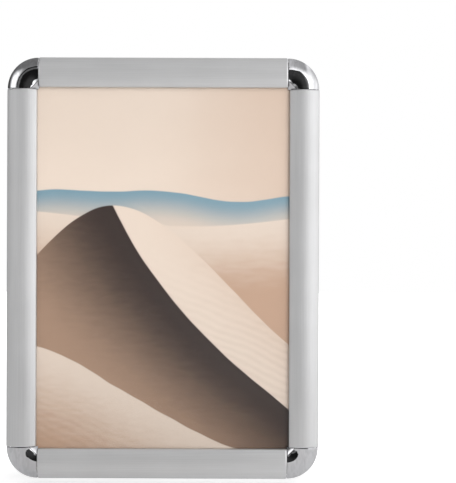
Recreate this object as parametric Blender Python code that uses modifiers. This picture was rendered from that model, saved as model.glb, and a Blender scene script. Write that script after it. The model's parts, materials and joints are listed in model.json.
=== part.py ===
"""Snap frame for an A4 poster, with turned chrome corners.

Four straight rails carry hinged snap covers. A bent spring strip between rail and
cover pushes each cover shut or open. Moulded keys join the rails at the corners and
carry the chromed caps. The back panel, the poster and the clear sheet lie in the rails.

World axes: X across the frame, Z up it, and the front looks along -Y.
Every section is drawn in two numbers: u runs from the frame's outer edge towards its
opening, and v runs from the wall towards the front.
"""

import math

import bmesh
import bpy
from mathutils import Matrix

MM = 0.001

# Sheet that the frame is made for, and what lies with it
SHEET_WIDTH = 210 * MM
SHEET_HEIGHT = 297 * MM
POSTER_THICKNESS = 0.2 * MM
CLEAR_THICKNESS = 0.5 * MM
PANEL_THICKNESS = 1.2 * MM
SHEET_PLAY = 0.7 * MM
PANEL_PLAY = 0.3 * MM

# Gap between pieces that touch or slide
GAP = 0.3 * MM

# Rail and cover profile
PROFILE_DEPTH = 12 * MM
FACE_WIDTH = 23.6 * MM
CREST_SHARE = 0.515
COVER_WALL = 1.1 * MM
LIP_ROUND = 0.8 * MM
FLOOR_THICKNESS = 1.2 * MM
BASE_WALL = 1.1 * MM
FLANGE_THICKNESS = 1.0 * MM
FLANGE_SETBACK = 0.6 * MM
FLOOR_SETBACK = 1.2 * MM
LIP_OVERHANG = 4.3 * MM

# Hinge between rail and cover
HINGE_HEIGHT = 7.0 * MM
BEAD_RADIUS = 1.1 * MM
NECK_THICKNESS = 0.9 * MM
SOCKET_WALL = 0.9 * MM
SOCKET_OUTER_END = 148.0
SOCKET_INNER_END = -58.0
SHOULDER_HEIGHT = 3.2 * MM
SHOULDER_RISE = 0.8 * MM
OPEN_ANGLE = 90.0

# Spring strip and its two seats
SPRING_ARM = 3.6 * MM
SPRING_ARM_ANGLE = -50.0
SPRING_THICKNESS = 0.45 * MM
SPRING_ROLL_RADIUS = 0.5 * MM
SPRING_BOW = 0.8 * MM
SPRING_LENGTH = 18 * MM
SPRING_PLACE_SHARES = (-0.25, 0.25)
GROOVE_WALL = 0.7 * MM
COVER_GROOVE_MOUTH = 84.0
RAIL_GROOVE_MOUTH = 46.0

# Corner caps and the keys under them
CORNER_OVERREACH = 1.5 * MM
CAP_INSET = 0.4 * MM
CAP_WALL = 1.5 * MM
CAP_FACET_LEG = 6.4 * MM
CAP_FACET_EDGE = 0.5 * MM
CAP_FACET_FALL = 3.2 * MM
CAP_STEP_WALL = 1.3 * MM
CAP_EDGE_ROUND = 0.6 * MM
CAP_TIP_RADIUS = 0.4 * MM
BOSS_RADIUS = 2.0 * MM
KEY_SIDE_SHARES = (0.196, 0.71)
KEY_THICKNESS = 2.5 * MM
KEY_REACH = 15 * MM
KEY_TIP_CHAMFER = 1.0 * MM

# Screws and holes
SCREW_RADIUS = 1.0 * MM
SCREW_HEAD_RADIUS = 1.9 * MM
SCREW_HEAD_HEIGHT = 0.9 * MM
SCREW_SUNK = 0.1 * MM
RAIL_SCREW_LENGTH = 3.3 * MM
CAP_SCREW_LENGTH = 7.6 * MM
SCREW_FROM_RAIL_END = 7 * MM
WALL_HOLE_RADIUS = 2.2 * MM
WALL_HOLE_PLACE_SHARES = (-0.36, 0.36)
WALL_HOLE_RAILS = ("top", "bottom")
CUT_OVERRUN = 1 * MM

# Fineness of the curves, and how close points are welded
ARCH_STEPS = 18
ROUND_STEPS = 10
CAP_STEPS = 16
TURN_STEPS = 16
WELD = 0.005 * MM

# Colours (red, green, blue), roughness and metallic
FINISHES = {
    "satin_aluminium": ((0.60, 0.60, 0.61), 0.36, 1.0),
    "chromed_plastic": ((0.80, 0.80, 0.81), 0.06, 1.0),
    "spring_steel": ((0.42, 0.43, 0.45), 0.30, 1.0),
    "zinc_screw": ((0.66, 0.66, 0.64), 0.32, 1.0),
    "key_plastic": ((0.045, 0.045, 0.05), 0.50, 0.0),
    "white_panel": ((0.86, 0.86, 0.85), 0.45, 0.0),
    "poster_paper": ((0.74, 0.62, 0.54), 0.60, 0.0),
    "clear_sheet": ((0.92, 0.94, 0.95), 0.12, 0.0),
}

# Heights above the wall, from the back of the stack to its front
PANEL_BACK = FLOOR_THICKNESS + GAP
FLANGE_BACK = PANEL_BACK + PANEL_THICKNESS + GAP
FLANGE_FRONT = FLANGE_BACK + FLANGE_THICKNESS
POSTER_BACK = FLANGE_FRONT + GAP
CLEAR_BACK = POSTER_BACK + POSTER_THICKNESS + GAP
LIP_BOTTOM = CLEAR_BACK + CLEAR_THICKNESS + GAP

# Places across the profile
LEDGE_WALL_INNER = FACE_WIDTH - LIP_OVERHANG
LEDGE_WALL_U = LEDGE_WALL_INNER - BASE_WALL
SHEET_EDGE_U = LEDGE_WALL_INNER + SHEET_PLAY
PANEL_EDGE_U = LEDGE_WALL_INNER + PANEL_PLAY
FRAME_WIDTH = SHEET_WIDTH + 2 * SHEET_EDGE_U
FRAME_HEIGHT = SHEET_HEIGHT + 2 * SHEET_EDGE_U
SOCKET_RADIUS = BEAD_RADIUS + GAP
CURL_RADIUS = SOCKET_RADIUS + SOCKET_WALL
HINGE_U = -CURL_RADIUS * math.cos(math.radians(SOCKET_OUTER_END))
GROOVE_RADIUS = SPRING_ROLL_RADIUS + GAP
GROOVE_OUTER = GROOVE_RADIUS + GROOVE_WALL
CORNER_CENTRE = FACE_WIDTH + CORNER_OVERREACH
RAIL_START = CORNER_CENTRE + GAP
KEY_TOP = FLOOR_THICKNESS + GAP + KEY_THICKNESS
PLATE_RADIUS = CORNER_CENTRE - CAP_INSET - CAP_WALL - GAP


def polar(centre, radius, degrees):
    """Point at an angle on a circle in the section plane."""
    angle = math.radians(degrees)
    return (centre[0] + radius * math.cos(angle), centre[1] + radius * math.sin(angle))


def bearing(start, end):
    """Angle in degrees of the line from one point to another."""
    return math.degrees(math.atan2(end[1] - start[1], end[0] - start[0]))


def arc(centre, radius, first, last, steps):
    """Points along an arc, both ends included."""
    return [polar(centre, radius, first + (last - first) * i / steps) for i in range(steps + 1)]


def crossing(centre, radius, other, other_radius, side):
    """Angle on the first circle where it meets the second, left (1) or right (-1) of their line."""
    distance = math.dist(centre, other)
    cosine = (distance ** 2 + radius ** 2 - other_radius ** 2) / (2 * distance * radius)
    return bearing(centre, other) + side * math.degrees(math.acos(cosine))


def height_on(centre, radius, u):
    """Height of the upper side of a circle at one place across the profile."""
    return centre[1] + math.sqrt(radius ** 2 - (u - centre[0]) ** 2)


# Arch of the cover: it tops out at the crest and runs tangent into the hinge curl
CREST_U = CREST_SHARE * FACE_WIDTH
HINGE = (HINGE_U, HINGE_HEIGHT)
CREST_RUN = CREST_U - HINGE_U
CREST_RISE = PROFILE_DEPTH - HINGE_HEIGHT
ARCH_RADIUS = (CREST_RUN ** 2 + CREST_RISE ** 2 - CURL_RADIUS ** 2) / (2 * (CREST_RISE - CURL_RADIUS))
ARCH_CENTRE = (CREST_U, PROFILE_DEPTH - ARCH_RADIUS)
ARCH_END = bearing(ARCH_CENTRE, HINGE)

# Spring seats: the strip has the same length with the cover shut and fully open
COVER_SEAT = polar(HINGE, SPRING_ARM, SPRING_ARM_ANGLE)
COVER_SEAT_OPEN = polar(HINGE, SPRING_ARM, SPRING_ARM_ANGLE + OPEN_ANGLE)
RAIL_SEAT_U = LEDGE_WALL_INNER - GROOVE_OUTER
RAIL_SEAT_DROP = math.tan(math.radians(SPRING_ARM_ANGLE + OPEN_ANGLE / 2))
RAIL_SEAT = (RAIL_SEAT_U, HINGE_HEIGHT + (RAIL_SEAT_U - HINGE_U) * RAIL_SEAT_DROP)
SPRING_CHORD = math.dist(COVER_SEAT, RAIL_SEAT)
SPRING_SLOPE = math.degrees(math.atan(4 * SPRING_BOW / SPRING_CHORD))

# Key legs: both sides as shares of the space between the cover's spring seat and the ledge wall
KEY_SPACE_START = COVER_SEAT[0] + GROOVE_OUTER
KEY_SPACE = LEDGE_WALL_U - KEY_SPACE_START
KEY_LOW = KEY_SPACE_START + KEY_SIDE_SHARES[0] * KEY_SPACE
KEY_HIGH = KEY_SPACE_START + KEY_SIDE_SHARES[1] * KEY_SPACE
KEY_LINE = (KEY_LOW + KEY_HIGH) / 2


def cover_outline():
    """Section of a snap cover, from the lip over the arch to the hinge and the spring seat."""
    lip_centre_u = FACE_WIDTH - LIP_ROUND
    lip_centre = (lip_centre_u, height_on(ARCH_CENTRE, ARCH_RADIUS - LIP_ROUND, lip_centre_u))
    lip_angle = bearing(ARCH_CENTRE, lip_centre)
    points = [(FACE_WIDTH, LIP_BOTTOM)]
    points += arc(lip_centre, LIP_ROUND, 0, lip_angle, ROUND_STEPS // 2)
    points += arc(ARCH_CENTRE, ARCH_RADIUS, lip_angle, 90, ARCH_STEPS // 2)
    points += arc(ARCH_CENTRE, ARCH_RADIUS, 90, ARCH_END, ARCH_STEPS // 2)
    points += arc(HINGE, CURL_RADIUS, ARCH_END, SOCKET_OUTER_END, ROUND_STEPS // 2)
    points += arc(HINGE, SOCKET_RADIUS, SOCKET_OUTER_END, SOCKET_INNER_END, 2 * ROUND_STEPS)

    shut = bearing(COVER_SEAT, RAIL_SEAT) - SPRING_SLOPE
    opened = bearing(COVER_SEAT_OPEN, RAIL_SEAT) - OPEN_ANGLE - SPRING_SLOPE
    mouth = (shut + opened) / 2
    left = polar(HINGE, CURL_RADIUS, crossing(HINGE, CURL_RADIUS, COVER_SEAT, GROOVE_OUTER, -1))
    right_angle = crossing(HINGE, CURL_RADIUS, COVER_SEAT, GROOVE_OUTER, 1)
    right = polar(HINGE, CURL_RADIUS, right_angle)
    mouth_low = mouth - COVER_GROOVE_MOUTH + 360
    mouth_high = mouth + COVER_GROOVE_MOUTH
    points += arc(COVER_SEAT, GROOVE_OUTER, bearing(COVER_SEAT, left), mouth_low, ROUND_STEPS // 2)
    points += arc(COVER_SEAT, GROOVE_RADIUS, mouth_low, mouth_high, ROUND_STEPS)
    points += arc(COVER_SEAT, GROOVE_OUTER, mouth_high, bearing(COVER_SEAT, right), ROUND_STEPS // 2)

    under_radius = ARCH_RADIUS - COVER_WALL
    curl_angle = crossing(HINGE, CURL_RADIUS, ARCH_CENTRE, under_radius, 1) % 360
    curl_angle = min(curl_angle, crossing(HINGE, CURL_RADIUS, ARCH_CENTRE, under_radius, -1) % 360)
    points += arc(HINGE, CURL_RADIUS, right_angle, curl_angle, ROUND_STEPS // 2)
    under_start = bearing(ARCH_CENTRE, points[-1])
    lip_inner = FACE_WIDTH - COVER_WALL
    under_end = bearing(ARCH_CENTRE, (lip_inner, height_on(ARCH_CENTRE, under_radius, lip_inner)))
    points += arc(ARCH_CENTRE, under_radius, under_start, under_end, ARCH_STEPS)
    points.append((lip_inner, LIP_BOTTOM))
    return points


def rail_outline():
    """Section of a base rail: floor, panel slot, sheet ledge, spring seat, shoulder and bead."""
    floor_end = FACE_WIDTH - FLOOR_SETBACK
    flange_end = FACE_WIDTH - FLANGE_SETBACK
    points = [(0, 0), (floor_end, 0), (floor_end, FLOOR_THICKNESS), (LEDGE_WALL_INNER, FLOOR_THICKNESS),
              (LEDGE_WALL_INNER, FLANGE_BACK), (flange_end, FLANGE_BACK), (flange_end, FLANGE_FRONT),
              (LEDGE_WALL_INNER, FLANGE_FRONT)]

    shut = bearing(RAIL_SEAT, COVER_SEAT) % 360 + SPRING_SLOPE
    opened = bearing(RAIL_SEAT, COVER_SEAT_OPEN) % 360 + SPRING_SLOPE
    mouth = (shut + opened) / 2
    points += arc(RAIL_SEAT, GROOVE_OUTER, 0, mouth - RAIL_GROOVE_MOUTH, ROUND_STEPS)
    points += arc(RAIL_SEAT, GROOVE_RADIUS, mouth - RAIL_GROOVE_MOUTH, mouth + RAIL_GROOVE_MOUTH - 360,
                  2 * ROUND_STEPS)
    wall_angle = -math.degrees(math.acos((LEDGE_WALL_U - RAIL_SEAT_U) / GROOVE_OUTER))
    points += arc(RAIL_SEAT, GROOVE_OUTER, mouth + RAIL_GROOVE_MOUTH - 360, wall_angle, ROUND_STEPS // 2)
    points += [(LEDGE_WALL_U, FLOOR_THICKNESS), (BASE_WALL, FLOOR_THICKNESS)]

    neck_left = HINGE_U - NECK_THICKNESS / 2
    neck_right = HINGE_U + NECK_THICKNESS / 2
    shoulder_inner = SHOULDER_HEIGHT - NECK_THICKNESS / 2
    points += [(BASE_WALL, shoulder_inner), (neck_right, shoulder_inner + SHOULDER_RISE)]
    neck_angle = math.degrees(math.asin(NECK_THICKNESS / 2 / BEAD_RADIUS))
    points += arc(HINGE, BEAD_RADIUS, neck_angle - 90, 270 - neck_angle, 2 * ROUND_STEPS)
    points += [(neck_left, SHOULDER_HEIGHT + SHOULDER_RISE), (0, SHOULDER_HEIGHT)]
    return points


def spring_outline():
    """Section of a spring strip, with its rail-side roll at the origin and a shallow bow."""
    reach = bearing(RAIL_SEAT, COVER_SEAT)
    far = polar((0, 0), SPRING_CHORD, reach)
    half = SPRING_THICKNESS / 2
    bow_radius = (SPRING_CHORD ** 2 / 4 + SPRING_BOW ** 2) / (2 * SPRING_BOW)
    middle = (far[0] / 2, far[1] / 2)
    centre = polar(middle, bow_radius - SPRING_BOW, reach - 90)
    near_angle = bearing(centre, (0, 0))
    far_angle = bearing(centre, far)
    turn = (far_angle - near_angle + 180) % 360 - 180
    trim = math.copysign(math.degrees(SPRING_ROLL_RADIUS / bow_radius), turn)
    first = near_angle + trim
    last = near_angle + turn - trim
    outer = arc(centre, bow_radius + half, first, last, ROUND_STEPS)
    inner = arc(centre, bow_radius - half, last, first, ROUND_STEPS)

    def roll(end, entry, leave):
        start = bearing(end, entry)
        sweep = (bearing(end, leave) - start) % 360
        if sweep < 180:
            sweep -= 360
        return arc(end, SPRING_ROLL_RADIUS, start, start + sweep, ROUND_STEPS)

    return outer + roll(far, outer[-1], inner[0]) + inner + roll((0, 0), inner[-1], outer[0])


def key_outline():
    """Flat outline of the corner key: an L whose two legs slide into the rails."""
    end = RAIL_START + KEY_REACH
    tip = end - KEY_TIP_CHAMFER
    reach = CORNER_CENTRE - KEY_LOW
    bend = max(reach - math.sqrt(PLATE_RADIUS ** 2 - reach ** 2), KEY_TIP_CHAMFER)
    leg = [(KEY_LOW + bend, KEY_LOW), (tip, KEY_LOW), (end, KEY_LOW + KEY_TIP_CHAMFER),
           (end, KEY_HIGH - KEY_TIP_CHAMFER), (tip, KEY_HIGH)]
    return leg + [(KEY_HIGH, KEY_HIGH)] + [(z, x) for x, z in reversed(leg)]


def plate_outline():
    """Flat outline of the key's back plate: a quarter disc that closes the corner's back."""
    centre = (CORNER_CENTRE, CORNER_CENTRE)
    return [centre] + arc(centre, PLATE_RADIUS, 180, 270, 2 * ROUND_STEPS)


def cap_section(angle):
    """Section of a corner cap as pairs (distance from the corner centre, height) at one angle."""
    facet_end = CAP_FACET_LEG / (math.cos(angle) + math.sin(angle))
    facet_low = LIP_BOTTOM + CAP_FACET_EDGE
    skirt_top = height_on(HINGE, CURL_RADIUS, CAP_INSET)
    curl_start = bearing(HINGE, (CAP_INSET, skirt_top))
    rounded = CORNER_CENTRE - facet_end - CAP_EDGE_ROUND
    edge_centre = (rounded, height_on(ARCH_CENTRE, ARCH_RADIUS - CAP_EDGE_ROUND, rounded))
    edge_angle = bearing(ARCH_CENTRE, edge_centre)
    outer = [(CAP_INSET, GAP)]
    outer += arc(HINGE, CURL_RADIUS, curl_start, ARCH_END, ROUND_STEPS // 2)
    outer += arc(ARCH_CENTRE, ARCH_RADIUS, ARCH_END, edge_angle, ARCH_STEPS)[1:]
    outer += arc(edge_centre, CAP_EDGE_ROUND, edge_angle, 0, ROUND_STEPS // 2)[1:]
    outer.append((CORNER_CENTRE - facet_end, facet_low + CAP_FACET_FALL))
    outer.append((CORNER_CENTRE - CAP_TIP_RADIUS, facet_low))

    under_radius = ARCH_RADIUS - CAP_WALL
    step_u = CORNER_CENTRE - facet_end - CAP_STEP_WALL
    skirt_u = CAP_INSET + CAP_WALL
    step_angle = bearing(ARCH_CENTRE, (step_u, height_on(ARCH_CENTRE, under_radius, step_u)))
    skirt_angle = bearing(ARCH_CENTRE, (skirt_u, height_on(ARCH_CENTRE, under_radius, skirt_u)))
    inner = [(CORNER_CENTRE - CAP_TIP_RADIUS, LIP_BOTTOM), (step_u, LIP_BOTTOM)]
    inner += arc(ARCH_CENTRE, under_radius, step_angle, skirt_angle, ARCH_STEPS // 2)
    inner.append((skirt_u, GAP))
    return [(CORNER_CENTRE - u, v) for u, v in outer + inner]


def clean(points):
    """Drop points that repeat the one before them."""
    kept = []
    for point in points:
        if not kept or math.dist(point, kept[-1]) > WELD:
            kept.append(point)
    if math.dist(kept[0], kept[-1]) <= WELD:
        kept.pop()
    return kept


def finished(blank):
    """Mesh of an object with its modifiers applied and its seams welded. The object goes."""
    graph = bpy.context.evaluated_depsgraph_get()
    mesh = bpy.data.meshes.new_from_object(blank.evaluated_get(graph), depsgraph=graph)
    mesh.transform(blank.matrix_world)
    data = blank.data
    bpy.data.objects.remove(blank)
    if isinstance(data, bpy.types.Curve):
        bpy.data.curves.remove(data)
    else:
        bpy.data.meshes.remove(data)
    work = bmesh.new()
    work.from_mesh(mesh)
    bmesh.ops.remove_doubles(work, verts=work.verts, dist=WELD)
    bmesh.ops.dissolve_degenerate(work, edges=work.edges, dist=WELD)
    bmesh.ops.recalc_face_normals(work, faces=work.faces)
    work.to_mesh(mesh)
    work.free()
    return mesh


def extruded(points, thickness):
    """Mesh of a flat outline in XY, drawn as a filled curve and extruded both ways along Z."""
    curve = bpy.data.curves.new("outline", "CURVE")
    curve.dimensions = "2D"
    curve.fill_mode = "BOTH"
    curve.extrude = thickness / 2
    spline = curve.splines.new("POLY")
    corners = clean(points)
    spline.points.add(len(corners) - 1)
    for point, corner in zip(spline.points, corners):
        point.co = (corner[0], corner[1], 0, 1)
    spline.use_cyclic_u = True
    blank = bpy.data.objects.new("outline", curve)
    bpy.context.scene.collection.objects.link(blank)
    bpy.context.view_layer.update()
    return finished(blank)


# Section plane (u, v, along) to rail axes: along to +X, u to +Z, v to -Y
SECTION_TO_RAIL = Matrix(((0, 0, 1, 0), (0, -1, 0, 0), (1, 0, 0, 0), (0, 0, 0, 1)))
# Flat corner outline (x, z, thickness) to corner axes: thickness to -Y
PLAN_TO_CORNER = Matrix(((1, 0, 0, 0), (0, 0, -1, 0), (0, 1, 0, 0), (0, 0, 0, 1)))


def along_rail(points, length):
    """Mesh of a section that runs along a rail."""
    mesh = extruded(points, length)
    mesh.transform(SECTION_TO_RAIL)
    return mesh


def slab(points, low, high):
    """Mesh of a flat corner outline between two heights above the wall."""
    mesh = extruded(points, high - low)
    mesh.transform(Matrix.Translation((0, -(low + high) / 2, 0)) @ PLAN_TO_CORNER)
    return mesh


def turned(profile, axis_at):
    """Mesh of a profile (radius, height above the wall) turned about an axis that runs to the wall."""
    mesh = bpy.data.meshes.new("turned")
    corners = [(radius, -height, 0) for radius, height in profile]
    mesh.from_pydata(corners, [(i, i + 1) for i in range(len(corners) - 1)], [])
    blank = bpy.data.objects.new("turned", mesh)
    bpy.context.scene.collection.objects.link(blank)
    blank.location = (axis_at[0], 0, axis_at[1])
    turn = blank.modifiers.new("turn", "SCREW")
    turn.axis = "Y"
    turn.steps = TURN_STEPS
    turn.render_steps = TURN_STEPS
    turn.use_merge_vertices = True
    turn.merge_threshold = WELD
    bpy.context.view_layer.update()
    return finished(blank)


def combined(base, others, operation):
    """Mesh of one mesh joined with others (UNION) or cut by them (DIFFERENCE)."""
    blank = bpy.data.objects.new("blank", base)
    bpy.context.scene.collection.objects.link(blank)
    tools = []
    for other in others:
        tool = bpy.data.objects.new("tool", other)
        CUTTERS.objects.link(tool)
        tool.hide_render = True
        tool.display_type = "WIRE"
        cut = blank.modifiers.new("cut", "BOOLEAN")
        cut.operation = operation
        cut.object = tool
        tools.append(tool)
    bpy.context.view_layer.update()
    mesh = finished(blank)
    for tool in tools:
        data = tool.data
        bpy.data.objects.remove(tool)
        bpy.data.meshes.remove(data)
    return mesh


def screw_profile(length, allowance):
    """Profile of a countersunk screw, or with an allowance that of its hole."""
    top = SCREW_SUNK + length + allowance
    head = SCREW_HEAD_RADIUS + allowance
    shank = SCREW_RADIUS + allowance
    taper = SCREW_SUNK + SCREW_HEAD_HEIGHT + allowance
    profile = [(0, top), (shank, top), (shank, taper), (head, SCREW_SUNK)]
    if allowance:
        profile += [(head, -CUT_OVERRUN), (0, -CUT_OVERRUN)]
    else:
        profile.append((0, SCREW_SUNK))
    return profile


def wall_hole_profile():
    """Profile of a plain drilled hole through a rail's floor."""
    top = FLOOR_THICKNESS + CUT_OVERRUN
    return [(0, top), (WALL_HOLE_RADIUS, top), (WALL_HOLE_RADIUS, -CUT_OVERRUN), (0, -CUT_OVERRUN)]


def rail_length(side):
    """Length of a rail or cover between the two corners beside it."""
    across = FRAME_WIDTH if side in ("top", "bottom") else FRAME_HEIGHT
    return across - 2 * RAIL_START


def rail_mesh(side):
    """Base rail with its screw holes, and on two rails the holes for the wall screws."""
    length = rail_length(side)
    mesh = along_rail(rail_outline(), length)
    screw_x = length / 2 - SCREW_FROM_RAIL_END
    profile = screw_profile(FLOOR_THICKNESS, GAP)
    holes = [turned(profile, (x, KEY_LINE)) for x in (-screw_x, screw_x)]
    if side in WALL_HOLE_RAILS:
        places = [(share * length, KEY_LINE) for share in WALL_HOLE_PLACE_SHARES]
        holes += [turned(wall_hole_profile(), at) for at in places]
    return combined(mesh, holes, "DIFFERENCE")


def key_mesh():
    """Corner key: back plate, corner block and two legs in one moulding, drilled for three screws."""
    legs = slab(key_outline(), FLOOR_THICKNESS + GAP, KEY_TOP)
    plate = slab(plate_outline(), 0, FLOOR_THICKNESS)
    low = max(KEY_LOW, CORNER_CENTRE - PLATE_RADIUS / math.sqrt(2)) + GAP
    high = KEY_HIGH - GAP
    block_outline = [(low, low), (high, low), (high, high), (low, high)]
    block = slab(block_outline, FLOOR_THICKNESS / 2, KEY_TOP - KEY_THICKNESS / 2)
    body = combined(legs, [block, plate], "UNION")
    screw_x = RAIL_START + SCREW_FROM_RAIL_END
    holes = [turned(screw_profile(CAP_SCREW_LENGTH, GAP), (KEY_LINE, KEY_LINE)),
             turned(screw_profile(CAP_SCREW_LENGTH, GAP), (screw_x, KEY_LINE)),
             turned(screw_profile(CAP_SCREW_LENGTH, GAP), (KEY_LINE, screw_x))]
    return combined(body, holes, "DIFFERENCE")


def cap_mesh():
    """Corner cap: a shell lofted round the corner between unlike sections, with a screw boss inside."""
    work = bmesh.new()
    rings = []
    for step in range(CAP_STEPS + 1):
        angle = math.pi / 2 * step / CAP_STEPS
        ring = []
        for radius, height in cap_section(angle):
            x = CORNER_CENTRE - radius * math.cos(angle)
            z = CORNER_CENTRE - radius * math.sin(angle)
            ring.append(work.verts.new((x, -height, z)))
        rings.append(ring)
    for ring, following in zip(rings, rings[1:]):
        for i in range(len(ring)):
            work.faces.new((ring[i - 1], ring[i], following[i], following[i - 1]))
    work.faces.new(rings[0])
    work.faces.new(reversed(rings[-1]))
    bmesh.ops.recalc_face_normals(work, faces=work.faces)
    shell = bpy.data.meshes.new("shell")
    work.to_mesh(shell)
    work.free()

    centre_radius = math.sqrt(2) * (CORNER_CENTRE - KEY_LINE)
    inner_u = CORNER_CENTRE - centre_radius + BOSS_RADIUS
    boss_top = height_on(ARCH_CENTRE, ARCH_RADIUS - CAP_WALL, inner_u) + SCREW_SUNK
    foot = KEY_TOP + GAP
    boss = turned([(0, boss_top), (BOSS_RADIUS, boss_top), (BOSS_RADIUS, foot), (0, foot)],
                  (KEY_LINE, KEY_LINE))
    hole = turned(screw_profile(CAP_SCREW_LENGTH, GAP), (KEY_LINE, KEY_LINE))
    return combined(combined(shell, [boss], "UNION"), [hole], "DIFFERENCE")


def sheet_mesh(width, height, thickness):
    """Flat rectangular sheet, centred on its middle."""
    work = bmesh.new()
    bmesh.ops.create_cube(work, size=1)
    bmesh.ops.scale(work, vec=(width, thickness, height), verts=work.verts)
    mesh = bpy.data.meshes.new("sheet")
    work.to_mesh(mesh)
    work.free()
    return mesh


def finish(name):
    """Plain material of one finish, made once."""
    material = bpy.data.materials.get(name)
    if material is None:
        colour, roughness, metallic = FINISHES[name]
        material = bpy.data.materials.new(name)
        material.use_nodes = True
        shader = material.node_tree.nodes["Principled BSDF"]
        shader.inputs["Base Color"].default_value = (*colour, 1)
        shader.inputs["Roughness"].default_value = roughness
        shader.inputs["Metallic"].default_value = metallic
    return material


def place(name, mesh, carrier, at, material):
    """Named object on a carrier, with its origin at a place (along, height, across) of it."""
    piece = bpy.data.objects.new(name, mesh)
    PARTS.objects.link(piece)
    piece.parent = carrier
    piece.location = (at[0], -at[1], at[2])
    mesh.materials.clear()
    mesh.materials.append(finish(material))
    for polygon in mesh.polygons:
        polygon.use_smooth = False
    return piece


def carrier(name, x, z, quarter_turns):
    """Empty on the wall plane whose Z axis points inwards and whose Y axis points to the wall."""
    empty = bpy.data.objects.new(name, None)
    PARTS.objects.link(empty)
    empty.location = (x, PROFILE_DEPTH / 2, z)
    empty.rotation_euler = (0, quarter_turns * math.pi / 2, 0)
    return empty


def build_side(side, x, z, quarter_turns):
    """One side of the frame: base rail, snap cover on its hinge, and two spring strips."""
    mark = carrier(f"{side}_side", x, z, quarter_turns)
    length = rail_length(side)
    place(f"base_rail_{side}", rail_mesh(side), mark, (0, 0, 0), "satin_aluminium")
    hinged = [(u - HINGE[0], v - HINGE[1]) for u, v in cover_outline()]
    place(f"snap_cover_{side}", along_rail(hinged, length), mark, (0, HINGE[1], HINGE[0]), "satin_aluminium")
    for number, share in enumerate(SPRING_PLACE_SHARES, start=1):
        place(f"spring_{side}_{number}", along_rail(spring_outline(), SPRING_LENGTH), mark,
              (share * length, RAIL_SEAT[1], RAIL_SEAT[0]), "spring_steel")


def build_corner(corner, x, z, quarter_turns):
    """One corner of the frame: key, chromed cap, and the three screws that hold them."""
    mark = carrier(f"{corner}_corner", x, z, quarter_turns)
    place(f"corner_key_{corner}", key_mesh(), mark, (0, 0, 0), "key_plastic")
    place(f"corner_cap_{corner}", cap_mesh(), mark, (0, 0, 0), "chromed_plastic")
    cap_screw = turned(screw_profile(CAP_SCREW_LENGTH, 0), (0, 0))
    place(f"cap_screw_{corner}", cap_screw, mark, (KEY_LINE, 0, KEY_LINE), "zinc_screw")
    far = RAIL_START + SCREW_FROM_RAIL_END
    for number, (along, across) in enumerate(((far, KEY_LINE), (KEY_LINE, far)), start=1):
        rail_screw = turned(screw_profile(RAIL_SCREW_LENGTH, 0), (0, 0))
        place(f"rail_screw_{corner}_{number}", rail_screw, mark, (along, 0, across), "zinc_screw")


def build_stack():
    """Back panel, poster and clear sheet, one behind the other in the rails."""
    mark = carrier("middle", 0, 0, 0)
    panel_width = FRAME_WIDTH - 2 * PANEL_EDGE_U
    panel_height = FRAME_HEIGHT - 2 * PANEL_EDGE_U
    layers = (
        ("back_panel", panel_width, panel_height, PANEL_THICKNESS, PANEL_BACK, "white_panel"),
        ("poster", SHEET_WIDTH, SHEET_HEIGHT, POSTER_THICKNESS, POSTER_BACK, "poster_paper"),
        ("clear_sheet", SHEET_WIDTH, SHEET_HEIGHT, CLEAR_THICKNESS, CLEAR_BACK, "clear_sheet"),
    )
    for name, width, height, thickness, back, material in layers:
        place(name, sheet_mesh(width, height, thickness), mark, (0, back + thickness / 2, 0), material)


def new_collection(name):
    """Collection under the scene's own."""
    collection = bpy.data.collections.new(name)
    bpy.context.scene.collection.children.link(collection)
    return collection


for leftover in list(bpy.data.objects):
    bpy.data.objects.remove(leftover)
PARTS = new_collection("poster_snap_frame")
CUTTERS = new_collection("cutters")

half_width = FRAME_WIDTH / 2
half_height = FRAME_HEIGHT / 2
build_side("bottom", 0, -half_height, 0)
build_side("right", half_width, 0, -1)
build_side("top", 0, half_height, 2)
build_side("left", -half_width, 0, 1)
build_corner("bottom_left", -half_width, -half_height, 0)
build_corner("bottom_right", half_width, -half_height, -1)
build_corner("top_right", half_width, half_height, 2)
build_corner("top_left", -half_width, half_height, 1)
build_stack()
bpy.context.view_layer.update()
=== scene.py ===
"""Looks of a portrait snap frame with rounded chrome corners.

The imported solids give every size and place. This file adds smooth covers, caps and springs,
screws with a cross recess, the finishes, a print, and the studio that they are seen in.
"""

import json
import math

import bmesh
import bpy
from bpy.props import FloatProperty, FloatVectorProperty, IntProperty, PointerProperty
from mathutils import Matrix, Vector


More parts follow.
